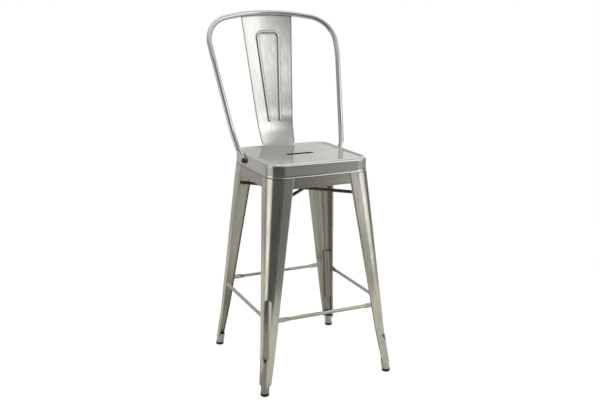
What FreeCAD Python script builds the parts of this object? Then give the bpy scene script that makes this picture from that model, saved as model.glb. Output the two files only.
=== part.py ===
"""High-backed counter stool in pressed sheet steel: four folded legs under a dished seat pan,
a bent tube hoop with a pressed splat for a back, and a ring of footrest bars.

X runs across the stool, Y to the back and Z up. The stool is drawn round the middle of its seat,
and each piece is moved at the end so that the origin lies on the floor under the middle of the
whole stool, back included.
"""
import FreeCAD
import Part
import math
import os

from FreeCAD import Rotation, Vector

# Driving dimensions, in millimetres
SHEET = 1.5                 # thickness of every pressed sheet
SEAT_HEIGHT = 664.0         # floor to the crest of the seat's rim
SEAT_HALF = 158.0           # middle of the seat to the outside of its skirt
SEAT_CORNER = 44.0          # corner radius of the skirt
RIM_RADIUS = 8.0            # rolled rim round the seat
DISH_DEPTH = 4.0            # rim crest down to the flat of the seat
DISH_RUN = 15.0             # width of the slope from the crest to the flat
SKIRT_DEPTH = 40.5          # rim crest to the lower edge of the skirt
FLARE_HEIGHT = 6.5          # the skirt curves out over this height above its lower edge
FLARE_OUT = 1.2             # and by this much, to lie flush with the legs
SLOT_LENGTH = 88.0          # hand slot in the seat, across the stool
SLOT_WIDTH = 20.0
SLOT_LIP = 7.0              # depth of the turned-down edge of the slot

LEG_FOOT = 30.0             # height of the leg sheet's lower end
KICK_HEIGHT = 120.0         # the leg turns out a little more below this height
KICK_EASE = 25.0            # half the height of the bend between the two slopes
LEG_TOP = 621.9             # the leg's outside ends here, just under the skirt
LEG_OUT_FOOT = 211.5        # middle of the stool to a leg's outer face, at its lower end
LEG_OUT_KICK = 200.8
LEG_OUT_TOP = 159.0
LEG_EDGE_FOOT = 184.3       # middle of the stool to a leg's free edge, at its lower end
LEG_EDGE_KICK = 166.5
LEG_EDGE_TOP = 87.1
LEG_CORNER_FOOT = 14.0      # outer radius of the leg's round corner
LEG_CORNER_TOP = 42.3
LEG_LIP = 6.0               # depth of the lips turned in along a leg's free edges
FOLD_RADIUS = 2.5           # outer radius of the fold between a flange and its lip
END_ROUND = 8.0             # round of the two free corners at the leg's lower end
STEP_TOP = 623.4            # above its outside the leg steps in, up to this height, to pass into the skirt
TONGUE_TOP = 650.0          # the leg's upper end, which stands inside the skirt
TONGUE_GAP = 0.1            # between the upper end and the skirt

GROOVE_TOP = 271.0          # stamped groove down the outer corner of each leg
GROOVE_END = 118.0
GROOVE_TIP = 98.0           # its lower end narrows to a point
GROOVE_HALF = 12.5          # half the width of the stamp, whose upper end is round
GROOVE_RADIUS = 24.0        # round nose of the stamp
GROOVE_DEPTH_TOP = 5.2
GROOVE_DEPTH_END = 7.5

APRON_BOTTOM = 592.0        # band under the seat, between the legs
APRON_TOP = 632.0
APRON_LIP = 8.0             # turned in along the band's lower edge

FERRULE_RADIUS = 12.1       # tube end under each leg
FERRULE_BORE = 10.8
FERRULE_TOP = 38.0
GLIDE_HEIGHT = 9.0          # black foot below the tube
GLIDE_RADIUS = 12.4
GLIDE_ROUND = 2.5           # round of its lower edge
GLIDE_PLUG = 10.6           # radius of the plug inside the tube
GLIDE_PLUG_TOP = 24.0

BAR_RADIUS = 5.3            # footrest bars
BAR_FLAT_HEIGHT = 15.0      # their ends, pressed flat and welded to the lips of the legs
BAR_FLAT_THICK = 4.0
BAR_FLAT_LENGTH = 20.0
BAR_TAPER = 11.0            # from the round bar to its flat end
BAR_INSET = 4.25            # leg's outer face to the middle of a bar
BAR_HEIGHTS = {"front": 218.0, "right": 225.0, "rear": 230.0, "left": 225.0}

BRACE_RADIUS = 5.0          # crossed rods under the seat
BRACE_HEIGHT = 555.0        # upper rod; the lower one passes just under it

HOOP_RADIUS = 8.0           # tube of the back
HOOP_FOOT = Vector(173.0, 65.6, 676.0)      # where the round tube starts above its flat end
HOOP_BENDS = [              # corners of the tube up its right side to the crown, with their radii
    (Vector(181.9, 87.8, 723.4), 200.0),
    (Vector(209.0, 169.5, 937.8), 298.0),
    (Vector(216.5, 224.2, 1042.3), 93.0),
    (Vector(63.4, 262.9, 1069.0), 410.0),
]
TAB_BOLT = Vector(SEAT_HALF, 50.5, 641.2)   # bolt through the hoop's flat end
TAB_WIDTH = 22.0
TAB_THICK = 3.6
TAB_RUN = 6.8               # flat length above the bolt

SPLAT_FLANGE_BOTTOM = 631.5     # upright foot of the splat, against the back of the skirt
SPLAT_START = Vector(53.0, SEAT_HALF, 650.0)        # right edge of its front face: start, bend and end
SPLAT_BEND = Vector(59.3, 191.9, 728.2)
SPLAT_BEND_RADIUS = 380.0
SPLAT_END = Vector(85.2, 258.5, 1068.0)
SPLAT_SECTIONS = 14         # sections that carry the splat's curve
SPLAT_BOW_FOOT = 0.3        # how far the middle lies behind the edges
SPLAT_BOW_TOP = 7.0
SPLAT_HEM_RADIUS = 2.2      # rolled side edges, and how far up the sloping run they start
SPLAT_HEM_SHARE = 0.2
BEAD_RADIUS = 7.0           # pressed rib on the splat: round nose, and its height over the face
BEAD_HEIGHT = 3.0
BEAD_FOOT = 735.0           # height of the rib's two lower ends, and half the width between them
BEAD_FOOT_HALF = 18.5
BEAD_TOP = 1008.0           # height of its crossing run, and half the width there
BEAD_TOP_HALF = 37.1
BEAD_TURN = 16.0            # radius of its two upper corners
BEAD_KNEE = 755.5           # height of the slight bend that follows the splat's curve, and its radius
BEAD_KNEE_RADIUS = 300.0
BEAD_STRAIGHT = 800.0       # the splat's face is straight above this height

HOOP_BOLT = 4.0             # thread radius of the bolts at the hoop's ends
SPLAT_BOLT = 3.0            # thread radius of the bolts at the splat's foot
SPLAT_BOLT_X = 32.0
SPLAT_BOLT_Z = 641.0
HEAD_FLATS = 1.55           # head and nut: middle to flats, then heights, as shares of the thread radius
HEAD_HEIGHT = 1.3
NUT_HEIGHT = 1.6
CLEARANCE = 0.25            # round the bolts in their holes
THREAD_GAP = 0.05           # between bolt and nut
DRILL_REACH = 8.0           # holes are cut this far to both sides of a face

UP = Vector(0, 0, 1)
MIDDLE = Vector(0, 0, 0)
CORNER_CENTRE = SEAT_HALF - SEAT_CORNER
DIAGONAL = math.sqrt(0.5)


def outline(start, steps):
    """Closed wire: a step that is a point is a straight run, and a pair is an arc through and to."""
    edges = []
    here = start
    for step in steps:
        if isinstance(step, tuple):
            through, there = step
            edges.append(Part.Arc(here, through, there).toShape())
        else:
            there = step
            edges.append(Part.makeLine(here, there))
        here = there
    return Part.Wire(edges)


def turned(shape, quarters):
    """Copy of a shape turned by quarter turns about the stool's upright axis."""
    copy = shape.copy()
    copy.rotate(MIDDLE, UP, 90.0 * quarters)
    return copy


def mirrored(shape):
    """Copy of a shape on the other side of the stool."""
    return shape.mirror(MIDDLE, Vector(1, 0, 0))


def across(point):
    """Point on the other side of the stool."""
    return Vector(-point.x, point.y, point.z)


def largest(shape):
    """The biggest of the solids in a shape."""
    return max(shape.Solids, key=lambda solid: solid.Volume)


def four_arcs(centre, first, second, radius):
    """Circle of four equal arcs, in the plane of two unit directions."""

    def at(angle):
        a = math.radians(angle)
        return centre + first * (radius * math.cos(a)) + second * (radius * math.sin(a))

    return outline(at(-45), [
        (at(0), at(45)),
        (at(90), at(135)),
        (at(180), at(225)),
        (at(270), at(315)),
    ])


def bent_line(start, bends, end):
    """Path of straight runs joined by tangent arcs: bends are (corner, radius) pairs."""
    edges = []
    here = start
    corners = [corner for corner, _ in bends]
    for (corner, radius), following in zip(bends, corners[1:] + [end]):
        back = (here - corner).normalize()
        ahead = (following - corner).normalize()
        half_angle = back.getAngle(ahead) / 2
        reach = radius / math.tan(half_angle)
        inward = (back + ahead).normalize() * (radius / math.sin(half_angle) - radius)
        leave = corner + back * reach
        meet = corner + ahead * reach
        edges.append(Part.makeLine(here, leave))
        edges.append(Part.Arc(leave, corner + inward, meet).toShape())
        here = meet
    edges.append(Part.makeLine(here, end))
    return Part.Wire(edges)


def rod_along(path, radius):
    """Round bar along a path."""
    first = path.Edges[0]
    start = first.valueAt(first.FirstParameter)
    circle = Part.Circle(start, first.tangentAt(first.FirstParameter), radius)
    return path.makePipe(Part.Face(Part.Wire([circle.toShape()])))


def drill(face_point, direction, radius):
    """Round hole through a face, to be cut away."""
    return Part.makeCylinder(radius, 2 * DRILL_REACH, face_point - direction * DRILL_REACH, direction)


def between(low, high, z):
    """Value on the straight line between two (height, value) pairs."""
    share = (z - low[0]) / (high[0] - low[0])
    return low[1] + share * (high[1] - low[1])


# Seat pan

def rim_profile(y):
    """Section of the seat's edge: dish slope, rolled rim, skirt and its flare, one sheet thick."""
    crest = SEAT_HEIGHT
    slope = 2 * math.atan2(DISH_DEPTH, DISH_RUN)
    dish_radius = DISH_RUN / math.sin(slope) - RIM_RADIUS
    roll = (SEAT_HALF - RIM_RADIUS, crest - RIM_RADIUS)
    dish = (roll[0] - DISH_RUN, crest - DISH_DEPTH + dish_radius)
    flare_top = crest - SKIRT_DEPTH + FLARE_HEIGHT
    flare_radius = (FLARE_HEIGHT ** 2 + FLARE_OUT ** 2) / (2 * FLARE_OUT)
    flare_turn = math.asin(FLARE_HEIGHT / flare_radius)

    def on(centre, radius, angle):
        return Vector(centre[0] + radius * math.cos(angle), y, centre[1] + radius * math.sin(angle))

    def on_flare(face, angle):
        out = flare_radius * (1 - math.cos(angle))
        return Vector(face + out, y, flare_top - flare_radius * math.sin(angle))

    up = math.radians(90)
    ramp_low = -up
    ramp_high = slope - up
    ramp_mid = (ramp_low + ramp_high) / 2
    roll_high = up + slope
    inner_roll = RIM_RADIUS - SHEET
    inner_dish = dish_radius + SHEET
    inside = SEAT_HALF - SHEET
    start = on(dish, dish_radius, ramp_low)
    return outline(start, [
        (on(dish, dish_radius, ramp_mid), on(dish, dish_radius, ramp_high)),
        (on(roll, RIM_RADIUS, roll_high / 2), on(roll, RIM_RADIUS, 0)),
        on_flare(SEAT_HALF, 0),
        (on_flare(SEAT_HALF, flare_turn / 2), on_flare(SEAT_HALF, flare_turn)),
        on_flare(inside, flare_turn),
        (on_flare(inside, flare_turn / 2), on_flare(inside, 0)),
        on(roll, inner_roll, 0),
        (on(roll, inner_roll, roll_high / 2), on(roll, inner_roll, roll_high)),
        (on(dish, inner_dish, ramp_mid), on(dish, inner_dish, ramp_low)),
        start,
    ])


def rounded_plate(half, radius, low, high):
    """Square upright slab with rounded corners."""
    box = Part.makeBox(2 * half, 2 * half, high - low, Vector(-half, -half, low))
    upright = [edge for edge in box.Edges if abs(edge.tangentAt(edge.FirstParameter).z) > 0.5]
    return box.makeFillet(radius, upright)


def long_hole(length, width, low, high):
    """Upright slab with round ends, long across the stool."""
    straight = (length - width) / 2
    half = width / 2
    return Part.Face(outline(Vector(-straight, -half, low), [
        Vector(straight, -half, low),
        (Vector(straight + half, 0, low), Vector(straight, half, low)),
        Vector(-straight, half, low),
        (Vector(-straight - half, 0, low), Vector(-straight, -half, low)),
    ])).extrude(Vector(0, 0, high - low))


def seat_pan():
    """Dished pan with a rolled rim, a deep skirt and a hand slot with a turned-down edge."""
    profile = Part.Face(rim_profile(-CORNER_CENTRE))
    side = profile.extrude(Vector(0, 2 * CORNER_CENTRE, 0))
    corner_profile = Part.Face(rim_profile(CORNER_CENTRE))
    corner = corner_profile.revolve(Vector(CORNER_CENTRE, CORNER_CENTRE, 0), UP, 90)
    border = []
    for quarter in range(4):
        border.append(turned(side, quarter))
        border.append(turned(corner, quarter))

    inset = RIM_RADIUS + DISH_RUN
    top = SEAT_HEIGHT - DISH_DEPTH
    flat = rounded_plate(SEAT_HALF - inset, SEAT_CORNER - inset, top - SHEET, top)
    lip = long_hole(SLOT_LENGTH + 2 * SHEET, SLOT_WIDTH + 2 * SHEET, top - SLOT_LIP, top)
    slot = long_hole(SLOT_LENGTH, SLOT_WIDTH, top - 2 * SLOT_LIP, top + SLOT_LIP)
    return flat.multiFuse(border + [lip]).cut(slot).removeSplitter()


# Legs

def leg_line(foot, kick, top, z):
    """Value at one height on a line with a bend: foot to kick, then kick to top."""
    if z < KICK_HEIGHT:
        return between((LEG_FOOT, foot), (KICK_HEIGHT, kick), z)
    return between((KICK_HEIGHT, kick), (LEG_TOP, top), z)


def leg_outer(z):
    return leg_line(LEG_OUT_FOOT, LEG_OUT_KICK, LEG_OUT_TOP, z)


def leg_edge(z):
    return leg_line(LEG_EDGE_FOOT, LEG_EDGE_KICK, LEG_EDGE_TOP, z)


def leg_corner(z):
    return between((LEG_FOOT, LEG_CORNER_FOOT), (LEG_TOP, LEG_CORNER_TOP), z)


def folded_section(z, outer, edge, radius):
    """Section of a leg: a round corner, two flanges and a lip turned in along each free edge."""

    def flange(wall):
        reach = (FOLD_RADIUS - wall) * DIAGONAL
        return [
            Vector(edge + wall, outer - LEG_LIP, z),
            Vector(edge + wall, outer - FOLD_RADIUS, z),
            Vector(edge + FOLD_RADIUS - reach, outer - FOLD_RADIUS + reach, z),
            Vector(edge + FOLD_RADIUS, outer - wall, z),
            Vector(outer - radius, outer - wall, z),
        ]

    def swapped(point):
        return Vector(point.y, point.x, point.z)

    def corner_middle(wall):
        along = outer - radius + (radius - wall) * DIAGONAL
        return Vector(along, along, z)

    tip, low, bend, high, turn = flange(0.0)
    in_tip, in_low, in_bend, in_high, in_turn = flange(SHEET)
    return outline(tip, [
        low,
        (bend, high),
        turn,
        (corner_middle(0.0), swapped(turn)),
        swapped(high),
        (swapped(bend), swapped(low)),
        swapped(tip),
        swapped(in_tip),
        swapped(in_low),
        (swapped(in_bend), swapped(in_high)),
        swapped(in_turn),
        (corner_middle(SHEET), in_turn),
        in_high,
        (in_bend, in_low),
        in_tip,
        tip,
    ])


def filled_section(z):
    """The leg's outside at one height, closed straight across its open side."""
    outer = leg_outer(z)
    edge = leg_edge(z)
    start = outer - leg_corner(z)
    middle = start + leg_corner(z) * DIAGONAL
    return outline(Vector(edge, outer, z), [
        Vector(start, outer, z),
        (Vector(middle, middle, z), Vector(outer, start, z)),
        Vector(outer, edge, z),
        Vector(edge, edge, z),
        Vector(edge, outer, z),
    ])


LEG_STATIONS = [LEG_FOOT, KICK_HEIGHT - KICK_EASE, KICK_HEIGHT + KICK_EASE, LEG_TOP]


def corner_reach(z):
    """Distance from the stool's axis to the ridge of a leg's round corner."""
    radius = leg_corner(z)
    return (leg_outer(z) - radius) / DIAGONAL + radius


def groove_tool(wall):
    """What the stamp takes up in the leg's corner: the groove, or with a wall the sheet round it too."""

    def axis_point(z, depth):
        reach = (corner_reach(z) + GROOVE_RADIUS - depth) * DIAGONAL
        return Vector(reach, reach, z)

    top = axis_point(GROOVE_TOP, GROOVE_DEPTH_TOP)
    end = axis_point(GROOVE_END, GROOVE_DEPTH_END)
    down = (end - top).normalize()
    side = Vector(DIAGONAL, -DIAGONAL, 0)
    through = side.cross(down)
    half = GROOVE_HALF + wall
    length = (end - top).Length
    tip = length + GROOVE_END - GROOVE_TIP + 2 * wall

    def at(across_groove, along):
        return top + side * across_groove + down * along - through * (2 * GROOVE_RADIUS)

    stamp = Part.Face(outline(at(half, 0), [
        at(half, length),
        at(0, tip),
        at(-half, length),
        at(-half, 0),
        (at(0, -half), at(half, 0)),
    ])).extrude(through * (4 * GROOVE_RADIUS))
    nose = Part.makeCylinder(GROOVE_RADIUS + wall, tip + 4 * half, top - down * (2 * half), down)
    return nose.common(stamp)


def end_round():
    """What the round takes off the free lower corner of the flange at positive y."""
    low = LEG_FOOT + END_ROUND
    middle = leg_edge(low) + END_ROUND
    depth = leg_outer(LEG_FOOT) - 2 * LEG_LIP
    block = Part.makeBox(2 * END_ROUND, 4 * LEG_LIP, 2 * END_ROUND,
                         Vector(middle - 2 * END_ROUND, depth, low - 2 * END_ROUND))
    pin = Part.makeCylinder(END_ROUND, 4 * LEG_LIP, Vector(middle, depth, low), Vector(0, 1, 0))
    return block.cut(pin)


def leg():
    """One pressed leg, in the corner where x and y are positive."""
    sections = []
    for z in LEG_STATIONS:
        sections.append(folded_section(z, leg_outer(z), leg_edge(z), leg_corner(z)))
    tongue = SEAT_HALF - SHEET - TONGUE_GAP
    for z in (STEP_TOP, TONGUE_TOP):
        sections.append(folded_section(z, tongue, leg_edge(z), tongue - CORNER_CENTRE))
    sheet = Part.makeLoft(sections, True, True)
    inside = Part.makeLoft([filled_section(z) for z in LEG_STATIONS], True, True)
    rib = groove_tool(SHEET).common(inside)
    corner_off = end_round()
    other_corner_off = corner_off.mirror(MIDDLE, Vector(1, -1, 0))
    return largest(sheet.fuse(rib).cut(groove_tool(0.0)).cut(corner_off).cut(other_corner_off))


# Feet

def foot_axis():
    """Where the axis of a foot meets the floor, and its direction up into the leg."""
    lean = (LEG_OUT_FOOT - LEG_OUT_KICK) / (KICK_HEIGHT - LEG_FOOT)
    inner = LEG_OUT_FOOT - LEG_CORNER_FOOT
    on_floor = inner + lean * LEG_FOOT
    return Vector(on_floor, on_floor, 0), Vector(-lean, -lean, 1)


def leaning_rod(radius, low, high):
    """Round bar along a foot's axis with level ends."""
    floor_point, lean = foot_axis()
    rod = Part.makeCylinder(radius, 4 * FERRULE_TOP, floor_point - lean * FERRULE_TOP, lean)
    slab = Part.makeBox(2 * SEAT_HALF, 2 * SEAT_HALF, high - low, Vector(0, 0, low))
    return rod.common(slab)


def ferrule():
    """Short tube welded inside the leg's lower end."""
    tube = leaning_rod(FERRULE_RADIUS, GLIDE_HEIGHT, FERRULE_TOP)
    return tube.cut(leaning_rod(FERRULE_BORE, 0.0, 2 * FERRULE_TOP))


def glide():
    """Soft foot: an upright pad that meets the floor, and a plug pushed up into the leaning tube."""
    floor_point, lean = foot_axis()
    middle = floor_point + lean * (GLIDE_HEIGHT / 2)
    pad = Part.makeCylinder(GLIDE_RADIUS, GLIDE_HEIGHT, Vector(middle.x, middle.y, 0))
    floor_edges = [edge for edge in pad.Edges if edge.BoundBox.ZMax < GLIDE_ROUND]
    pad = pad.makeFillet(GLIDE_ROUND, floor_edges)
    return pad.fuse(leaning_rod(GLIDE_PLUG, GLIDE_HEIGHT, GLIDE_PLUG_TOP)).removeSplitter()


# Aprons and braces

def apron():
    """Band between two legs, behind the seat at positive y: flush with them, lip turned in below."""

    def band_section(z, outer):
        reach = leg_edge(z)
        return outline(Vector(-reach, outer, z), [
            Vector(reach, outer, z),
            Vector(reach, outer - SHEET, z),
            Vector(-reach, outer - SHEET, z),
            Vector(-reach, outer, z),
        ])

    tongue = SEAT_HALF - SHEET - TONGUE_GAP
    sections = [
        band_section(APRON_BOTTOM, leg_outer(APRON_BOTTOM)),
        band_section(LEG_TOP, leg_outer(LEG_TOP)),
        band_section(STEP_TOP, tongue),
        band_section(APRON_TOP, tongue),
    ]
    band = Part.makeLoft(sections, True, True)
    reach = leg_edge(APRON_BOTTOM + SHEET)
    lip = Part.makeBox(2 * reach, APRON_LIP - SHEET, SHEET,
                       Vector(-reach, leg_outer(APRON_BOTTOM) - APRON_LIP, APRON_BOTTOM))
    return band.fuse(lip).removeSplitter()


def brace(height, leg_shape):
    """Rod from the inside of one leg's corner to the opposite leg, along x = y."""
    reach = corner_reach(height) * DIAGONAL
    start = Vector(-reach, -reach, height)
    rod = Part.makeCylinder(BRACE_RADIUS, 2 * reach / DIAGONAL, start, Vector(1, 1, 0))
    return largest(rod.cut(leg_shape).cut(turned(leg_shape, 2)))


# Footrest

def footrest(height):
    """Bar between two legs at positive y, its ends pressed flat against the lips of the legs."""
    y = leg_outer(height) - BAR_INSET
    half_height = BAR_FLAT_HEIGHT / 2
    half_thick = BAR_FLAT_THICK / 2
    straight = half_height - half_thick

    def flat_end(x_at):
        def at(across, up):
            return Vector(x_at(height + up), y + across, height + up)
        return outline(at(half_thick, -straight), [
            at(half_thick, straight),
            (at(0, half_height), at(-half_thick, straight)),
            at(-half_thick, -straight),
            (at(0, -half_height), at(half_thick, -straight)),
        ])

    reach = leg_edge(height)
    flat_start = reach - BAR_FLAT_LENGTH
    taper_start = flat_start - BAR_TAPER
    round_start = four_arcs(Vector(taper_start, y, height), Vector(0, 1, 0), UP, BAR_RADIUS)
    end = Part.makeLoft([round_start, flat_end(lambda z: flat_start), flat_end(leg_edge)], True, True)
    rod = Part.makeCylinder(BAR_RADIUS, 2 * taper_start, Vector(-taper_start, y, height), Vector(1, 0, 0))
    return rod.multiFuse([end, mirrored(end)]).removeSplitter()


# Back

def hoop_path():
    """Middle line of the hoop's tube, from one side of the seat over to the other."""
    left_bends = [(across(corner), radius) for corner, radius in reversed(HOOP_BENDS)]
    return bent_line(HOOP_FOOT, HOOP_BENDS + left_bends, across(HOOP_FOOT))


def hoop_tab():
    """Flat end of the hoop on the right of the seat, with a round lower end, and its neck to the tube."""
    outward = Vector(1, 0, 0)
    run = HOOP_FOOT - TAB_BOLT
    up = Vector(0, run.y, run.z).normalize()
    wide = up.cross(outward)
    half = TAB_WIDTH / 2
    top = TAB_BOLT + up * TAB_RUN
    plate = Part.Face(outline(TAB_BOLT + wide * half, [
        top + wide * half,
        top - wide * half,
        TAB_BOLT - wide * half,
        (TAB_BOLT - up * half, TAB_BOLT + wide * half),
    ])).extrude(outward * TAB_THICK)

    flat_section = outline(top + outward * TAB_THICK - wide * half, [
        top + outward * TAB_THICK + wide * half,
        top + wide * half,
        top - wide * half,
        top + outward * TAB_THICK - wide * half,
    ])
    tube_up = (HOOP_BENDS[0][0] - HOOP_FOOT).normalize()
    tube_wide = tube_up.cross(outward).normalize()
    tube_section = four_arcs(HOOP_FOOT, tube_wide.cross(tube_up), tube_wide, HOOP_RADIUS)
    neck = Part.makeLoft([flat_section, tube_section], True, True)
    return plate.fuse(neck).cut(drill(TAB_BOLT, outward, HOOP_BOLT + CLEARANCE))


def hoop():
    """Bent tube of the back with its two flat ends."""
    tab = hoop_tab()
    return rod_along(hoop_path(), HOOP_RADIUS).multiFuse([tab, mirrored(tab)])


def splat_edge(start):
    """Right edge of the splat's front face, from a start on its sloping run up to the hoop."""
    return bent_line(start, [(SPLAT_BEND, SPLAT_BEND_RADIUS)], SPLAT_END)


def splat_sheet(ahead, behind):
    """Solid between two copies of the splat's bowed face, moved ahead and behind it."""
    sections = []
    for point in splat_edge(SPLAT_START).discretize(SPLAT_SECTIONS):
        share = (point.z - SPLAT_START.z) / (SPLAT_END.z - SPLAT_START.z)
        bow = SPLAT_BOW_FOOT + (SPLAT_BOW_TOP - SPLAT_BOW_FOOT) * math.sqrt(max(share, 0.0))
        front = point - Vector(0, ahead, 0)
        back = point + Vector(0, behind, 0)
        sections.append(outline(across(front), [
            (Vector(0, front.y + bow, point.z), front),
            back,
            (Vector(0, back.y + bow, point.z), across(back)),
            across(front),
        ]))
    return Part.makeLoft(sections, True, False)


def on_splat(sheet, z):
    """Point of the splat's front face on the right-hand line of the rib, at one height."""
    x = between((BEAD_FOOT, BEAD_FOOT_HALF), (BEAD_TOP, BEAD_TOP_HALF), z)
    probe = Part.makeLine(Vector(x, 0, z), Vector(x, 2 * SEAT_HALF, z))
    hits = sheet.common(probe).Vertexes
    return Vector(x, min(vertex.Point.y for vertex in hits), z)


def bead_path(sheet):
    """Upside-down U up the splat's front face, over and down again."""
    foot = on_splat(sheet, BEAD_FOOT)
    straight = on_splat(sheet, BEAD_STRAIGHT)
    top = on_splat(sheet, BEAD_TOP)
    knee = top + (straight - top) * ((BEAD_TOP - BEAD_KNEE) / (BEAD_TOP - BEAD_STRAIGHT))
    bends = [
        (knee, BEAD_KNEE_RADIUS),
        (top, BEAD_TURN),
        (across(top), BEAD_TURN),
        (across(knee), BEAD_KNEE_RADIUS),
    ]
    return bent_line(foot, bends, across(foot))


def bead_tool(path, wall):
    """Round bar with ball ends along the rib, sunk into the splat so that only its nose stands proud."""
    radius = BEAD_RADIUS - wall
    bar = rod_along(path, radius)
    ends = [path.Edges[0].Vertexes[0].Point, path.Edges[-1].Vertexes[-1].Point]
    tool = bar.multiFuse([Part.makeSphere(radius, end) for end in ends])
    tool.translate(Vector(0, BEAD_RADIUS - BEAD_HEIGHT, 0))
    return tool


def splat(tube):
    """Pressed back splat: a foot bolted to the seat, a bend, rolled edges and a raised hollow rib."""
    sheet = splat_sheet(0.0, SHEET)
    path = bead_path(sheet)
    space_ahead = splat_sheet(2 * BEAD_HEIGHT, SHEET)
    rib = bead_tool(path, 0.0).common(space_ahead)
    foot_half = SPLAT_START.x
    foot = Part.makeBox(2 * foot_half, SHEET, SPLAT_START.z - SPLAT_FLANGE_BOTTOM,
                        Vector(-foot_half, SEAT_HALF, SPLAT_FLANGE_BOTTOM))
    hem_start = SPLAT_START + (SPLAT_BEND - SPLAT_START) * SPLAT_HEM_SHARE
    hem = rod_along(splat_edge(hem_start), SPLAT_HEM_RADIUS)
    hem.translate(Vector(0, SHEET / 2, 0))
    body = sheet.multiFuse([rib, foot, hem, mirrored(hem)]).cut(bead_tool(path, SHEET))
    for x in (-SPLAT_BOLT_X, SPLAT_BOLT_X):
        body = body.cut(drill(Vector(x, SEAT_HALF, SPLAT_BOLT_Z), Vector(0, 1, 0), SPLAT_BOLT + CLEARANCE))
    return largest(body.cut(tube))


# Fasteners

def hexagon(radius, length, start, direction):
    """Six-sided bar, radius to its flats."""
    corner = radius / math.cos(math.pi / 6)
    turn = Rotation(Vector(0, 0, 1), direction)
    points = []
    for side in range(7):
        a = math.pi / 3 * side
        points.append(start + turn.multVec(Vector(corner * math.cos(a), corner * math.sin(a), 0)))
    return Part.Face(Part.makePolygon(points)).extrude(Vector(direction).normalize() * length)


def bolt_and_nut(head_face, nut_face, outward, radius):
    """Hexagon bolt whose head sits on one face, and its nut on the other."""
    flats = HEAD_FLATS * radius
    nut_height = NUT_HEIGHT * radius
    inward = outward * -1
    grip = (head_face - nut_face).Length
    head = hexagon(flats, HEAD_HEIGHT * radius, head_face, outward)
    shank = Part.makeCylinder(radius, grip + nut_height + radius / 2, head_face, inward)
    nut = hexagon(flats, nut_height, nut_face, inward)
    return head.fuse(shank), nut.cut(drill(nut_face, inward, radius + THREAD_GAP))


def fasteners():
    """Bolts and nuts at the hoop's two ends and at the splat's foot, right side first."""
    inside = SEAT_HALF - SHEET
    side_bolt, side_nut = bolt_and_nut(TAB_BOLT + Vector(TAB_THICK, 0, 0),
                                       Vector(inside, TAB_BOLT.y, TAB_BOLT.z), Vector(1, 0, 0), HOOP_BOLT)
    rear_bolt, rear_nut = bolt_and_nut(Vector(SPLAT_BOLT_X, SEAT_HALF + SHEET, SPLAT_BOLT_Z),
                                       Vector(SPLAT_BOLT_X, inside, SPLAT_BOLT_Z), Vector(0, 1, 0),
                                       SPLAT_BOLT)
    return {
        "hoop_bolts": side_bolt,
        "hoop_nuts": side_nut,
        "splat_bolts": rear_bolt,
        "splat_nuts": rear_nut,
    }


def drilled(pan):
    """Seat pan with the holes for the bolts of the back."""
    backward = Vector(0, 1, 0)
    for bolt in (TAB_BOLT, across(TAB_BOLT)):
        pan = pan.cut(drill(bolt, Vector(1, 0, 0), HOOP_BOLT + CLEARANCE))
    for x in (-SPLAT_BOLT_X, SPLAT_BOLT_X):
        pan = pan.cut(drill(Vector(x, SEAT_HALF, SPLAT_BOLT_Z), backward, SPLAT_BOLT + CLEARANCE))
    return pan


def stool():
    """Every piece of the stool by name, drawn round the middle of the seat."""
    pieces = {"seat_pan": drilled(seat_pan())}
    one_leg = leg()
    at_each_leg = {"leg_": one_leg, "ferrule_": ferrule(), "glide_": glide()}
    for quarter, corner in enumerate(["rear_right", "rear_left", "front_left", "front_right"]):
        for prefix, shape in at_each_leg.items():
            pieces[prefix + corner] = turned(shape, quarter)
    one_apron = apron()
    for quarter, side in enumerate(["rear", "left", "front", "right"]):
        pieces["apron_" + side] = turned(one_apron, quarter)
        pieces["footrest_" + side] = turned(footrest(BAR_HEIGHTS[side]), quarter)
    pieces["brace_upper"] = turned(brace(BRACE_HEIGHT, one_leg), 1)
    pieces["brace_lower"] = brace(BRACE_HEIGHT - 2 * BRACE_RADIUS, one_leg)
    pieces["back_hoop"] = hoop()
    pieces["back_splat"] = splat(pieces["back_hoop"])
    for name, shape in fasteners().items():
        pieces[name] = Part.makeCompound([shape, mirrored(shape)])
    return pieces


def main():
    os.makedirs("parts", exist_ok=True)
    pieces = stool()
    boxes = [shape.optimalBoundingBox(False, False) for shape in pieces.values()]
    front = min(box.YMin for box in boxes)
    back = max(box.YMax for box in boxes)
    to_middle = Vector(0, -(front + back) / 2, 0)
    print("moved to the middle of the whole stool by y =", round(to_middle.y, 2))
    for name, shape in pieces.items():
        placed = shape.copy()
        placed.translate(to_middle)
        placed.exportStep("parts/" + name + ".step")
        print(name, "valid" if placed.isValid() else "NOT VALID", len(placed.Solids), round(placed.Volume))


main()
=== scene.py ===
# %% [markdown]
# # A steel counter stool
# The stool is sheet metal: four folded legs, a dished seat, a ring of footrest bars, and a bent tube
# that carries a pressed splat. Its shapes are already solid parts, so this lesson is about finish:
# how brushed steel gets its grain, its worn edges and its studio reflections.

# %% Load the solid parts
import math

import bmesh
import bpy
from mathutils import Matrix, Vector

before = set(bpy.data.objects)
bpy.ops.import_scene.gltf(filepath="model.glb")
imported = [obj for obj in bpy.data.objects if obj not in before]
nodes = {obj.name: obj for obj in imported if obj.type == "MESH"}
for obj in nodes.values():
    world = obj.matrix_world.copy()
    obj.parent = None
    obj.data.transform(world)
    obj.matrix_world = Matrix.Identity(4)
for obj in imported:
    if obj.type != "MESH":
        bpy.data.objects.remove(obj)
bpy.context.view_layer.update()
print("parts loaded:", len(nodes))

# %% [markdown]
# ## The camera
# The stool is seen from a little left of its front and from above its seat, through a lens a bit
# longer than the eye's. A constraint could aim the camera at the seat, but two plain angles are easier
# to read. A camera at zero rotation looks straight down, so it is tipped up by a right angle less its
# downward tilt, and then turned about the upright axis.

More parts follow.
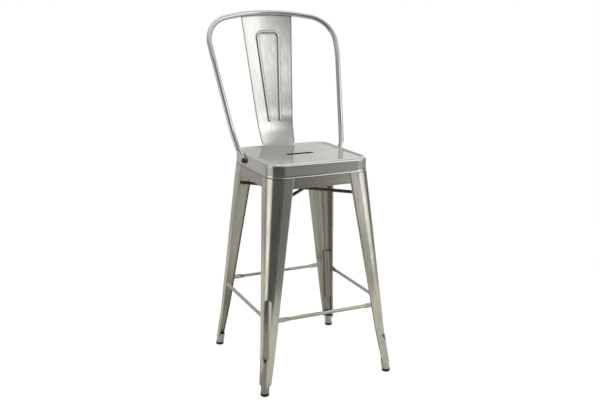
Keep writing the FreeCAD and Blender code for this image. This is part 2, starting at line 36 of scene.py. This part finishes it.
# %% Camera
LENS_MM = 49.07
SENSOR_MM = 36.0
CAMERA_PLACE = Vector((-0.9917, -2.2385, 1.1153))
CAMERA_TURN = math.radians(24.19)
CAMERA_TILT = math.radians(13.91)
SEAT_FLAT = 0.660

camera_data = bpy.data.cameras.new("photo_camera")
camera_data.lens = LENS_MM
camera_data.sensor_width = SENSOR_MM
camera_data.sensor_fit = "HORIZONTAL"
camera = bpy.data.objects.new("photo_camera", camera_data)
camera.location = CAMERA_PLACE
camera.rotation_euler = (math.pi / 2 - CAMERA_TILT, 0.0, -CAMERA_TURN)
scene = bpy.context.scene
scene.collection.objects.link(camera)
scene.camera = camera
scene.view_settings.view_transform = "Standard"
print("camera to the seat, metres:", round((CAMERA_PLACE - Vector((0, 0, SEAT_FLAT))).length, 2))

# %% [markdown]
# ## Small helpers for nodes
# Every finish below is a tree of shader nodes. The trees could be drawn by hand in the editor, but a
# script shows each step. A few helpers keep the cells short: they add a node and fill its inputs, join
# two sockets, do a sum, map one range to another, and mix two colours.

# %% Nodes, links and sums
def add_node(tree, kind, **inputs):
    """New node of a kind; inputs are given by socket name, with _ for a space."""
    node = tree.nodes.new(kind)
    for name, value in inputs.items():
        node.inputs[name.replace("_", " ")].default_value = value
    return node


def join(tree, source, target):
    """Link from an output socket to an input socket."""
    tree.links.new(source, target)


def add_math(tree, operation, first, second=None):
    """Math node on two sockets or plain numbers; gives its output."""
    node = tree.nodes.new("ShaderNodeMath")
    node.operation = operation
    for place, value in enumerate((first, second)):
        if value is None:
            continue
        if isinstance(value, (int, float)):
            node.inputs[place].default_value = value
        else:
            join(tree, value, node.inputs[place])
    return node.outputs[0]


print("helpers:", add_node.__name__, join.__name__, add_math.__name__)

# %% Vectors, ranges and mixes
def add_vector(tree, operation, first, second=None):
    """Vector Math node on a socket and, if given, a socket or a tuple; gives the node."""
    node = tree.nodes.new("ShaderNodeVectorMath")
    node.operation = operation
    join(tree, first, node.inputs[0])
    if isinstance(second, tuple):
        node.inputs[1].default_value = second
    elif second is not None:
        join(tree, second, node.inputs[1])
    return node


def add_range(tree, value, low, high, to_low, to_high):
    """Smooth step of a value from one range to another; gives its output."""
    node = tree.nodes.new("ShaderNodeMapRange")
    node.interpolation_type = "SMOOTHSTEP"
    join(tree, value, node.inputs["Value"])
    for name, number in (("From Min", low), ("From Max", high), ("To Min", to_low), ("To Max", to_high)):
        node.inputs[name].default_value = number
    return node.outputs["Result"]


def add_mix(tree, factor, first, second):
    """Colour between two colours; a colour is a socket or a tuple."""
    node = tree.nodes.new("ShaderNodeMix")
    node.data_type = "RGBA"
    join(tree, factor, node.inputs["Factor"])
    for socket, value in ((node.inputs[6], first), (node.inputs[7], second)):
        if isinstance(value, tuple):
            socket.default_value = value
        else:
            join(tree, value, socket)
    return node.outputs[2]


print("helpers:", add_vector.__name__, add_range.__name__, add_mix.__name__)

# %% [markdown]
# ## Helpers for node groups
# Grain, worn edges and dirt belong to many finishes. Each could be copied into every material, but a
# node group is built once, has named inputs and outputs, and takes its own values wherever it is placed.

# %% Node groups
def new_group(name, inputs, outputs):
    """Shader node group with named inputs and float outputs; gives the tree and its two end nodes."""
    group = bpy.data.node_groups.new(name, "ShaderNodeTree")
    for label, value in inputs.items():
        kind = "NodeSocketVector" if isinstance(value, tuple) else "NodeSocketFloat"
        socket = group.interface.new_socket(name=label, in_out="INPUT", socket_type=kind)
        socket.default_value = value
    for label in outputs:
        group.interface.new_socket(name=label, in_out="OUTPUT", socket_type="NodeSocketFloat")
    start = group.nodes.new("NodeGroupInput")
    end = group.nodes.new("NodeGroupOutput")
    return group, start, end


def place_group(tree, group, **inputs):
    """A group placed in a material with its own values."""
    node = add_node(tree, "ShaderNodeGroup")
    node.node_tree = group
    for name, value in inputs.items():
        node.inputs[name].default_value = value
    return node


print("helpers:", new_group.__name__, place_group.__name__)

# %% [markdown]
# ## The studio
# Polished metal has hardly any colour of its own: it shows the room. The room could be built from area
# lamps and boards, but they would have to be kept out of the camera's sight. A world shader is simpler:
# it is lit by direction alone, so a lamp or a wall is a patch between two bearings and two heights. A
# bearing is the angle from the front, positive to the right. A height is the direction's own Z, from -1
# straight down to 1 straight up.

# %% Bearings and heights of the room
world = bpy.data.worlds.new("pale_studio")
world.use_nodes = True
scene.world = world
tree = world.node_tree
tree.nodes.clear()
coordinates = tree.nodes.new("ShaderNodeTexCoord")
direction = tree.nodes.new("ShaderNodeSeparateXYZ")
join(tree, coordinates.outputs["Generated"], direction.inputs[0])
east, north, height = direction.outputs


def bearing_of(tree, east, north):
    """Angle from the front, in radians and positive to the right."""
    return add_math(tree, "ARCTAN2", east, add_math(tree, "MULTIPLY", north, -1.0))


bearing = bearing_of(tree, east, north)
print("room directions:", direction.outputs.keys())

# %% Patches of the room
def bearing_after(tree, turn, angle, soft):
    """Mask to the right of a bearing given in degrees."""
    return add_range(tree, turn, math.radians(angle - soft), math.radians(angle + soft), 0.0, 1.0)


def bearing_window(tree, turn, first, last, first_soft, last_soft):
    """Mask between two bearings, with a soft edge on each side."""
    before = add_math(tree, "SUBTRACT", 1.0, bearing_after(tree, turn, last, last_soft))
    return add_math(tree, "MULTIPLY", bearing_after(tree, turn, first, first_soft), before)


def height_window(tree, rise, low, high, low_soft, high_soft):
    """Mask between two heights, with a soft edge above and below."""
    over = add_range(tree, rise, low - low_soft, low + low_soft, 0.0, 1.0)
    under = add_range(tree, rise, high - high_soft, high + high_soft, 1.0, 0.0)
    return add_math(tree, "MULTIPLY", over, under)


print("room masks:", bearing_window.__name__, height_window.__name__)

# %% [markdown]
# ## Lamps and walls
# A tall key light stands at the front right, with a dimmer patch below it. A fill card to its left
# lights the upright face of the splat, a narrow light over the card draws the bright band where the
# splat bends, and a higher one touches the rims. A low bright strip stands at the left. The walls at
# the sides and behind are pale, and the ceiling grows paler towards its middle. The front stays dark,
# which is what draws the dark front faces of the stool.

# %% Lamps and walls of the room
# Each patch has a strength, two bearings with their soft edges, and two heights with theirs
PATCHES = {
    "key": (1.15, (27.8, 70, 2.5, 20), (-0.16, 0.53, 0.05, 0.05)),
    "top_light": (0.9, (14, 64, 10, 10), (0.65, 0.715, 0.03, 0.03)),
    "fill_card": (1.34, (1, 32, 9, 9), (0.265, 0.333, 0.03, 0.02)),
    "bend_light": (1.0, (21, 46, 8, 8), (0.405, 0.545, 0.07, 0.025)),
    "under_key": (0.36, (24, 110, 18, 10), (-1.0, -0.16, 0.06, 0.06)),
    "right_wall": (0.45, (74, 152, 14, 8), (0.0, 0.7, 0.16, 0.16)),
    "left_strip": (0.9, (-120, -78, 8, 8), (-0.18, 0.12, 0.12, 0.12)),
    "left_wall": (0.27, (-190, -72, 8, 8), (-0.7, 0.8, 0.2, 0.2)),
    "left_corner": (0.2, (-190, -156, 6, 6), (-0.7, 0.8, 0.2, 0.2)),
    "back_wall": (0.42, (120, 200, 12, 12), (-0.6, 0.95, 0.15, 0.15)),
}
# Brightness that changes with height alone: from a height to another, from a value to another
FRONT_WALL = (0.05, 0.35, 0.11, 0.26)
CEILING = (0.45, 0.80, 0.0, 0.38)
CEILING_MIDDLE = (0.82, 0.97, 0.0, 0.45)

ceiling = add_math(tree, "ADD", add_range(tree, height, *CEILING), add_range(tree, height, *CEILING_MIDDLE))
glow = add_math(tree, "ADD", add_range(tree, height, *FRONT_WALL), ceiling)
for strength, bearings, heights in PATCHES.values():
    mask = add_math(tree, "MULTIPLY", bearing_window(tree, bearing, *bearings),
                    height_window(tree, height, *heights))
    glow = add_math(tree, "ADD", glow, add_math(tree, "MULTIPLY", mask, strength))
print("patches of the room:", len(PATCHES))

# %% [markdown]
# ## What the camera sees of the room
# A product stands on white, but white all round would wash the metal out. The Light Path node tells the
# two apart: rays from the camera meet plain white, and all other rays meet the room. A white backdrop
# board would do the same for the eye, but the metal would reflect it.

# %% World shader
ROOM_TINT = (1.0, 0.99, 0.96, 1.0)
WHITE = (1.0, 1.0, 1.0, 1.0)


def choose_by_ray(tree, seen_by_metal, seen_by_camera):
    """Shader that is one thing to the camera and another to every other ray; gives its output."""
    rays = tree.nodes.new("ShaderNodeLightPath")
    choose = tree.nodes.new("ShaderNodeMixShader")
    join(tree, rays.outputs["Is Camera Ray"], choose.inputs["Fac"])
    join(tree, seen_by_metal, choose.inputs[1])
    join(tree, seen_by_camera, choose.inputs[2])
    return choose.outputs[0]


room = add_node(tree, "ShaderNodeBackground", Color=ROOM_TINT)
join(tree, glow, room.inputs["Strength"])
white = add_node(tree, "ShaderNodeBackground", Color=WHITE, Strength=1.0)
output = tree.nodes.new("ShaderNodeOutputWorld")
join(tree, choose_by_ray(tree, room.outputs[0], white.outputs[0]), output.inputs["Surface"])
print("world nodes:", len(tree.nodes))

# %% [markdown]
# ## The floor
# A pale round floor a few paces wide. An endless plane would be simpler, but a disc ends before the dark
# part of the room, so low faces of the legs reflect it and high ones do not.

# %% Floor disc
FLOOR_RADIUS = 1.5
FLOOR_SIDES = 96
floor_mesh = bpy.data.meshes.new("studio_floor")
shape = bmesh.new()
bmesh.ops.create_circle(shape, cap_ends=True, segments=FLOOR_SIDES, radius=FLOOR_RADIUS)
shape.to_mesh(floor_mesh)
shape.free()
floor = bpy.data.objects.new("studio_floor", floor_mesh)
scene.collection.objects.link(floor)
print("floor across, metres:", 2 * FLOOR_RADIUS)

# %% [markdown]
# ## Paint of the floor
# To the eye the floor glows nearly white, like a lit sweep, with a breath of shadow under the feet. To
# the metal it is a pale grey that darkens a little towards the stool, which keeps light from its own
# floor, and more towards the unlit front left. Lamps with shadows could do this too, but here the two
# shades are set apart and can be tuned alone. The dark lines in the grooves come from there.

# %% Floor paint
FLOOR_SHADE = (0.12, 0.36)
FLOOR_NEAR = 0.4
FLOOR_UNLIT = (-80, -27, 8, 8)
FLOOR_DARK = (0.42, 0.42, 0.40, 1.0)
FLOOR_PALE = (0.80, 0.80, 0.78, 1.0)
SWEEP_SHADE = (0.3, 0.3, 0.3, 1.0)
SWEEP_GLOW = 0.83

floor_paint = bpy.data.materials.new("pale_floor")
floor_paint.use_nodes = True
tree = floor_paint.node_tree
tree.nodes.clear()
coordinates = tree.nodes.new("ShaderNodeTexCoord")
distance = add_vector(tree, "LENGTH", coordinates.outputs["Object"])
away = add_range(tree, distance.outputs["Value"], *FLOOR_SHADE, FLOOR_NEAR, 1.0)
place = tree.nodes.new("ShaderNodeSeparateXYZ")
join(tree, coordinates.outputs["Object"], place.inputs[0])
turn = bearing_of(tree, place.outputs["X"], place.outputs["Y"])
unlit = bearing_window(tree, turn, *FLOOR_UNLIT)
lit = add_math(tree, "MULTIPLY", away, add_math(tree, "SUBTRACT", 1.0, unlit))
matt = tree.nodes.new("ShaderNodeBsdfDiffuse")
join(tree, add_mix(tree, lit, FLOOR_DARK, FLOOR_PALE), matt.inputs["Color"])
shade = add_node(tree, "ShaderNodeBsdfDiffuse", Color=SWEEP_SHADE)
sweep_glow = add_node(tree, "ShaderNodeEmission", Color=WHITE, Strength=SWEEP_GLOW)
sweep = tree.nodes.new("ShaderNodeAddShader")
join(tree, shade.outputs[0], sweep.inputs[0])
join(tree, sweep_glow.outputs[0], sweep.inputs[1])
output = tree.nodes.new("ShaderNodeOutputMaterial")
join(tree, choose_by_ray(tree, matt.outputs[0], sweep.outputs[0]), output.inputs["Surface"])
floor_mesh.materials.append(floor_paint)
print("floor nodes:", len(tree.nodes))

# %% [markdown]
# ## Brushed grain
# Steel sheet is rubbed with an abrasive belt, which leaves fine scratches all in one direction. A
# scanned texture could show them, but a noise that is squeezed across the grain and stretched along it
# fits any part and never repeats. The group has one fine noise for the scratches and one broad noise
# for cloudy patches of polish.

# %% Grain group
grain_group, start, end = new_group(
    "brushed_grain",
    {"Stretch": (1.0, 1.0, 1.0), "Scale": 60.0},
    ["Scratches", "Clouds"],
)
coordinates = grain_group.nodes.new("ShaderNodeTexCoord")
stretched = add_vector(grain_group, "MULTIPLY", coordinates.outputs["Object"], start.outputs["Stretch"])
fine = add_node(grain_group, "ShaderNodeTexNoise", Detail=6.0, Roughness=0.7)
join(grain_group, stretched.outputs[0], fine.inputs["Vector"])
join(grain_group, start.outputs["Scale"], fine.inputs["Scale"])
broad = add_node(grain_group, "ShaderNodeTexNoise", Scale=9.0, Detail=3.0, Roughness=0.55)
join(grain_group, coordinates.outputs["Object"], broad.inputs["Vector"])
join(grain_group, fine.outputs["Fac"], end.inputs["Scratches"])
join(grain_group, broad.outputs["Fac"], end.inputs["Clouds"])
print("group:", grain_group.name)

# %% [markdown]
# ## Worn edges
# Folded edges and rims are rubbed bright by hands, shoes and the polishing wheel. Wear could be painted
# on, but the Bevel node finds it: it gives the normal that a rounded edge would have, and where that
# turns away from the true normal, there is an edge nearby.

# %% Edge group
EDGE_FLAT = 0.995
EDGE_SHARP = 0.80
edge_group, start, end = new_group("worn_edges", {"Width": 0.0015}, ["Edge"])
rounded = edge_group.nodes.new("ShaderNodeBevel")
rounded.samples = 4
join(edge_group, start.outputs["Width"], rounded.inputs["Radius"])
facing = edge_group.nodes.new("ShaderNodeNewGeometry")
agree = add_vector(edge_group, "DOT_PRODUCT", rounded.outputs["Normal"], facing.outputs["Normal"])
edge = add_range(edge_group, agree.outputs["Value"], EDGE_FLAT, EDGE_SHARP, 0.0, 1.0)
join(edge_group, edge, end.inputs["Edge"])
print("group:", edge_group.name)

# %% [markdown]
# ## Painted shade in the creases
# Seams, welds and the bottoms of the stamped grooves are painted darker, as painted shade where little
# light reaches. The places could be masked one by one, but the Ambient Occlusion node measures how
# closed in any point is over a short distance, and the group turns that into a mask.

# %% Crease group
# Painted shade: the group masks closed-in places, which the steel paints darker
OPEN_FACE = 0.95
CLOSED_CREASE = 0.45
crease_shade_group, start, end = new_group("crease_painted_shade", {"Reach": 0.01}, ["Dirt"])
closed_in = crease_shade_group.nodes.new("ShaderNodeAmbientOcclusion")
closed_in.samples = 8
join(crease_shade_group, start.outputs["Reach"], closed_in.inputs["Distance"])
painted_crease_shade = add_range(crease_shade_group, closed_in.outputs["AO"], OPEN_FACE, CLOSED_CREASE, 0.0, 1.0)
join(crease_shade_group, painted_crease_shade, end.inputs["Dirt"])
print("group:", crease_shade_group.name)

# %% [markdown]
# ## Insides of the folds
# The faces inside the folded legs and aprons, and the slope inside the rim of the seat, are painted
# darker, as painted shade where little light reaches them, and are made a little rougher. The faces could
# be picked by hand, but their direction tells them apart: a face is on the inside when it looks towards
# the upright line through the middle of the stool, so the group compares each face with the way out from
# that line.

# %% Inside group
# Painted shade: the mask picks faces that look inwards, which the steel paints darker
MIDDLE_Y = -0.029
INSIDE_FROM = -1.0
INSIDE_FULL = -3.0
inside_group, start, end = new_group("inside_faces", {"Sharpness": 0.08}, ["Inside"])
coordinates = inside_group.nodes.new("ShaderNodeTexCoord")
outward = add_vector(inside_group, "SUBTRACT", coordinates.outputs["Object"], (0.0, MIDDLE_Y, 0.0))
level = add_vector(inside_group, "MULTIPLY", outward.outputs[0], (1.0, 1.0, 0.0))
way_out = add_vector(inside_group, "NORMALIZE", level.outputs[0])
facing = inside_group.nodes.new("ShaderNodeNewGeometry")
turned = add_vector(inside_group, "DOT_PRODUCT", facing.outputs["True Normal"], way_out.outputs[0])
depth = add_math(inside_group, "DIVIDE", turned.outputs["Value"], start.outputs["Sharpness"])
inside = add_range(inside_group, depth, INSIDE_FROM, INSIDE_FULL, 0.0, 1.0)
join(inside_group, inside, end.inputs["Inside"])
print("group:", inside_group.name)

# %% [markdown]
# ## Colours of the steel
# The sheet, the tube and the bars are the same metal, but clear coats and polishing leave the legs
# warmer than the back. Three near greys could be one grey under coloured lamps, but tinted lamps would
# tint every part. Each finish darkens or lightens its grey by shares.

# %% Metal colours
PALE_STEEL = (0.62, 0.62, 0.605)
SOFT_STEEL = (0.625, 0.62, 0.58)
WARM_STEEL = (0.63, 0.615, 0.545)
CREASE_SHADE_COLOUR = (0.10, 0.09, 0.07)


def shaded(colour, share):
    """A colour made darker or lighter by a share, with full alpha."""
    return tuple(min(1.0, part * share) for part in colour) + (1.0,)


print("pale steel at half its brightness:", shaded(PALE_STEEL, 0.5))

# %% [markdown]
# ## Long reflections
# Fine scratches smear a reflection across the grain: on the legs and the splat, whose grain runs up,
# lamps are drawn out sideways. The Principled shader does this with its Anisotropic value, along a
# direction that its Tangent input gives. A UV map could give it, but the surface normal crossed with
# the upright axis always lies level on the sheet and needs no map.

# %% Smeared reflections
UPRIGHT = (0.0, 0.0, 1.0)


def smear_reflections(tree, shader, amount):
    """Draw reflections out along the level direction of the sheet."""
    shader.inputs["Anisotropic"].default_value = amount
    facing = tree.nodes.new("ShaderNodeNewGeometry")
    sideways = add_vector(tree, "CROSS_PRODUCT", facing.outputs["Normal"], UPRIGHT)
    join(tree, sideways.outputs[0], shader.inputs["Tangent"])


print("helper:", smear_reflections.__name__)

# %% [markdown]
# ## Brushed steel
# One function makes every steel finish of the stool, each with its own grain direction, gloss and
# tone. Separate materials would drift apart when one is changed. The metal's colour and roughness shift
# a little with the clouds and scratches, edges are bright, creases are painted darker as painted shade,
# and faces inside the folds are painted darker as painted shade and made rougher. The scratches lift the
# surface by a hair through a Bump node. A thin clear coat over it is what makes the seat mirror the tube.

# %% Brushed steel
EDGE_WIDTH = 0.001
EDGE_BRIGHT = 1.30
CREASE_REACH = 0.01
CREASE_SHADE_SHARE = 0.6
INSIDE_SHADE_TONE = 0.78
SCRATCH_SHARE = 0.7
COLOUR_STEP = (0.36, 0.64)
GLOSS_STEP = (0.25, 0.75)
GLOSS_SPREAD = 0.2
CREASE_ROUGHNESS = 0.2
INSIDE_ROUGHNESS = 0.08
FOLD_SHARPNESS = 0.08
COAT_ROUGHNESS = 0.08
SCRATCH_DEPTH = 0.0004


def brushed_steel(name, steel, stretch, scale, roughness, coat, bump, tone=1.0,
                  streak=0.06, wear=0.15, smear=0.0, inside_shade=0.0, reach=CREASE_REACH):
    """Steel with grain along the axis where stretch is smallest.

    streak is the share by which the grain changes the colour, wear brightens the edges, smear draws
    reflections out sideways, dull paints the faces inside the folds darker as painted shade and makes them
    rougher, and reach is how wide a gap may be and still be painted darker as crease shade.
    """
    material = bpy.data.materials.new(name)
    material.use_nodes = True
    tree = material.node_tree
    shader = tree.nodes["Principled BSDF"]
    shader.inputs["Metallic"].default_value = 1.0
    shader.inputs["Coat Weight"].default_value = coat
    shader.inputs["Coat Roughness"].default_value = COAT_ROUGHNESS
    if smear:
        smear_reflections(tree, shader, smear)

    grain = place_group(tree, grain_group, Stretch=stretch, Scale=scale)
    scratches = add_math(tree, "MULTIPLY", grain.outputs["Scratches"], SCRATCH_SHARE)
    clouds = add_math(tree, "MULTIPLY", grain.outputs["Clouds"], 1.0 - SCRATCH_SHARE)
    mixed = add_math(tree, "ADD", scratches, clouds)
    dark, light = shaded(steel, tone * (1.0 - streak)), shaded(steel, tone * (1.0 + streak))
    colour = add_mix(tree, add_range(tree, mixed, *COLOUR_STEP, 0.0, 1.0), dark, light)
    rough, fine = roughness * (1.0 + GLOSS_SPREAD), roughness * (1.0 - GLOSS_SPREAD)
    gloss = add_range(tree, mixed, *GLOSS_STEP, rough, fine)

    edges = place_group(tree, edge_group, Width=EDGE_WIDTH)
    worn = add_math(tree, "MULTIPLY", edges.outputs["Edge"], wear)
    colour = add_mix(tree, worn, colour, shaded(steel, tone * EDGE_BRIGHT))
    # Painted shade: creases are painted a dark colour and made a little rougher
    creases = place_group(tree, crease_shade_group, Reach=reach)
    crease_darkening = add_math(tree, "MULTIPLY", creases.outputs["Dirt"], CREASE_SHADE_SHARE)
    colour = add_mix(tree, crease_darkening, colour, shaded(CREASE_SHADE_COLOUR, tone))
    gloss = add_math(tree, "ADD", gloss, add_math(tree, "MULTIPLY", crease_darkening, CREASE_ROUGHNESS))
    # Painted shade: faces inside the folds are painted darker, and made rougher
    if inside_shade:
        inside = place_group(tree, inside_group, Sharpness=FOLD_SHARPNESS)
        shaded_inside = add_math(tree, "MULTIPLY", inside.outputs["Inside"], inside_shade)
        colour = add_mix(tree, shaded_inside, colour, shaded(steel, tone * INSIDE_SHADE_TONE))
        gloss = add_math(tree, "ADD", gloss, add_math(tree, "MULTIPLY", shaded_inside, INSIDE_ROUGHNESS))

    join(tree, colour, shader.inputs["Base Color"])
    join(tree, gloss, shader.inputs["Roughness"])
    lift = add_node(tree, "ShaderNodeBump", Strength=bump, Distance=SCRATCH_DEPTH)
    join(tree, grain.outputs["Scratches"], lift.inputs["Height"])
    join(tree, lift.outputs["Normal"], shader.inputs["Normal"])
    return material


print("helper:", brushed_steel.__name__)

# %% [markdown]
# ## The steel finishes
# The grain runs along each piece, as the belt did: across the seat, up the legs and the splat, and along
# each bar. The braces and bolts are dark and rough; the braces' dark tone also stands as painted shade
# for the shade they sit in under the seat. One steel for all would be less work, but then the grain would
# cross some pieces.

# %% Steel finishes
ALONG_X = (0.02, 1.0, 1.0)
ALONG_Y = (1.0, 0.02, 1.0)
ALONG_Z = (1.0, 1.0, 0.02)
SHEET_GRAIN = 130.0
FINE_GRAIN = 160.0

seat_steel = brushed_steel("seat_steel", SOFT_STEEL, ALONG_X, FINE_GRAIN, roughness=0.14,
                           coat=0.3, bump=0.02, streak=0.10, inside_shade=1.0, reach=0.03)
leg_steel = brushed_steel("leg_steel", WARM_STEEL, ALONG_Z, SHEET_GRAIN, roughness=0.17,
                          coat=0.2, bump=0.02, streak=0.16, wear=0.45, smear=0.4, inside_shade=1.0)
back_steel = brushed_steel("back_steel", PALE_STEEL, ALONG_Z, SHEET_GRAIN, roughness=0.19,
                           coat=0.2, bump=0.004, streak=0.04, smear=0.5)
apron_steel = brushed_steel("apron_steel", WARM_STEEL, ALONG_X, FINE_GRAIN, roughness=0.20,
                            coat=0.2, bump=0.02, tone=0.70, streak=0.14, inside_shade=1.0)
tube_steel = brushed_steel("tube_steel", PALE_STEEL, ALONG_Z, FINE_GRAIN, roughness=0.15,
                           coat=0.3, bump=0.02)
bar_across_steel = brushed_steel("bar_across_steel", WARM_STEEL, ALONG_X, FINE_GRAIN, roughness=0.12,
                                 coat=0.2, bump=0.02, tone=0.85)
bar_along_steel = brushed_steel("bar_along_steel", WARM_STEEL, ALONG_Y, FINE_GRAIN, roughness=0.12,
                                coat=0.2, bump=0.02, tone=0.85)
ferrule_steel = brushed_steel("ferrule_steel", WARM_STEEL, ALONG_Z, FINE_GRAIN, roughness=0.26,
                              coat=0.1, bump=0.03, tone=0.95)
# Painted shade: the braces' dark tone stands partly for the shade under the seat
brace_steel = brushed_steel("brace_steel", WARM_STEEL, ALONG_X, FINE_GRAIN, roughness=0.38,
                            coat=0.0, bump=0.05, tone=0.28)
bolt_black = brushed_steel("bolt_black", WARM_STEEL, ALONG_Z, FINE_GRAIN, roughness=0.35,
                           coat=0.0, bump=0.05, tone=0.22)
print("nodes in the seat's steel:", len(seat_steel.node_tree.nodes))

# %% [markdown]
# ## The hand slot
# The edge of the slot in the seat is turned down, and it is painted nearly black as painted shade, the
# shade inside the opening. That is what makes the slot read as an opening. The painted shade could be a
# material of its own on a few faces, but a mask by place leaves the mesh alone: it covers all that lies
# below the flat of the seat, close to the middle.

# %% Painted shade in the slot
# Painted shade: nearly black below the flat of the seat around the slot
SLOT_HALF = (0.058, 0.024)
SLOT_SHADE_FROM = SEAT_FLAT - 0.0003
SLOT_SHADE_FULL = SEAT_FLAT - 0.0010
SLOT_SHADE_COLOUR = (0.05, 0.048, 0.042, 1.0)
tree = seat_steel.node_tree
shader = tree.nodes["Principled BSDF"]
polished = shader.inputs["Base Color"].links[0].from_socket
coordinates = tree.nodes.new("ShaderNodeTexCoord")
place = tree.nodes.new("ShaderNodeSeparateXYZ")
join(tree, coordinates.outputs["Object"], place.inputs[0])
below = add_range(tree, place.outputs["Z"], SLOT_SHADE_FROM, SLOT_SHADE_FULL, 0.0, 1.0)
across = add_math(tree, "LESS_THAN", add_math(tree, "ABSOLUTE", place.outputs["X"]), SLOT_HALF[0])
from_middle = add_math(tree, "ABSOLUTE", add_math(tree, "SUBTRACT", place.outputs["Y"], MIDDLE_Y))
along = add_math(tree, "LESS_THAN", from_middle, SLOT_HALF[1])
slot = add_math(tree, "MULTIPLY", below, add_math(tree, "MULTIPLY", across, along))
join(tree, add_mix(tree, slot, polished, SLOT_SHADE_COLOUR), shader.inputs["Base Color"])
print("slot zone, millimetres:", [round(2000 * half) for half in SLOT_HALF])

# %% [markdown]
# ## Rubber feet
# The feet are moulded black rubber: nearly no gloss, a fine grain, and dust that greys the lower rim. A
# flat black would look like a hole, so a fine noise breaks up the gloss, and the height above the floor
# decides where the dust lies.

# %% Rubber finish
FOOT_DUST_TOP = 0.006
FOOT_DUST = 0.5
GRIT_STEP = (0.3, 0.7)
RUBBER_ROUGHNESS = (0.5, 0.75)
RUBBER_BLACK = (0.010, 0.010, 0.010, 1.0)
RUBBER_DUSTY = (0.06, 0.058, 0.052, 1.0)
foot_rubber = bpy.data.materials.new("foot_rubber")
foot_rubber.use_nodes = True
tree = foot_rubber.node_tree
shader = tree.nodes["Principled BSDF"]
coordinates = tree.nodes.new("ShaderNodeTexCoord")
grit = add_node(tree, "ShaderNodeTexNoise", Scale=900.0, Detail=3.0)
join(tree, coordinates.outputs["Object"], grit.inputs["Vector"])
place = tree.nodes.new("ShaderNodeSeparateXYZ")
join(tree, coordinates.outputs["Object"], place.inputs[0])
dust = add_range(tree, place.outputs["Z"], FOOT_DUST_TOP, 0.0, 0.0, FOOT_DUST)
dusty = add_math(tree, "MULTIPLY", dust, grit.outputs["Fac"])
join(tree, add_mix(tree, dusty, RUBBER_BLACK, RUBBER_DUSTY), shader.inputs["Base Color"])
roughness = add_range(tree, grit.outputs["Fac"], *GRIT_STEP, *RUBBER_ROUGHNESS)
join(tree, roughness, shader.inputs["Roughness"])
pores = add_node(tree, "ShaderNodeBump", Strength=0.25, Distance=0.0002)
join(tree, grit.outputs["Fac"], pores.inputs["Height"])
join(tree, pores.outputs["Normal"], shader.inputs["Normal"])
print("rubber:", foot_rubber.name)

# %% [markdown]
# ## Dress the parts
# Each solid part takes the finish of its kind. The materials could be set part by part, but the names
# already say what a part is, so the start of a name is enough to find its finish.

# %% Assign the finishes
FINISHES = {
    "seat_pan": seat_steel,
    "leg_": leg_steel,
    "apron_": apron_steel,
    "ferrule_": ferrule_steel,
    "glide_": foot_rubber,
    "footrest_front": bar_across_steel,
    "footrest_rear": bar_across_steel,
    "footrest_left": bar_along_steel,
    "footrest_right": bar_along_steel,
    "brace_": brace_steel,
    "back_hoop": tube_steel,
    "back_splat": back_steel,
    "hoop_": bolt_black,
    "splat_": bolt_black,
}
for name, part in nodes.items():
    finish = next(material for start, material in FINISHES.items() if name.startswith(start))
    part.data.materials.clear()
    part.data.materials.append(finish)
print("parts dressed:", len(nodes))
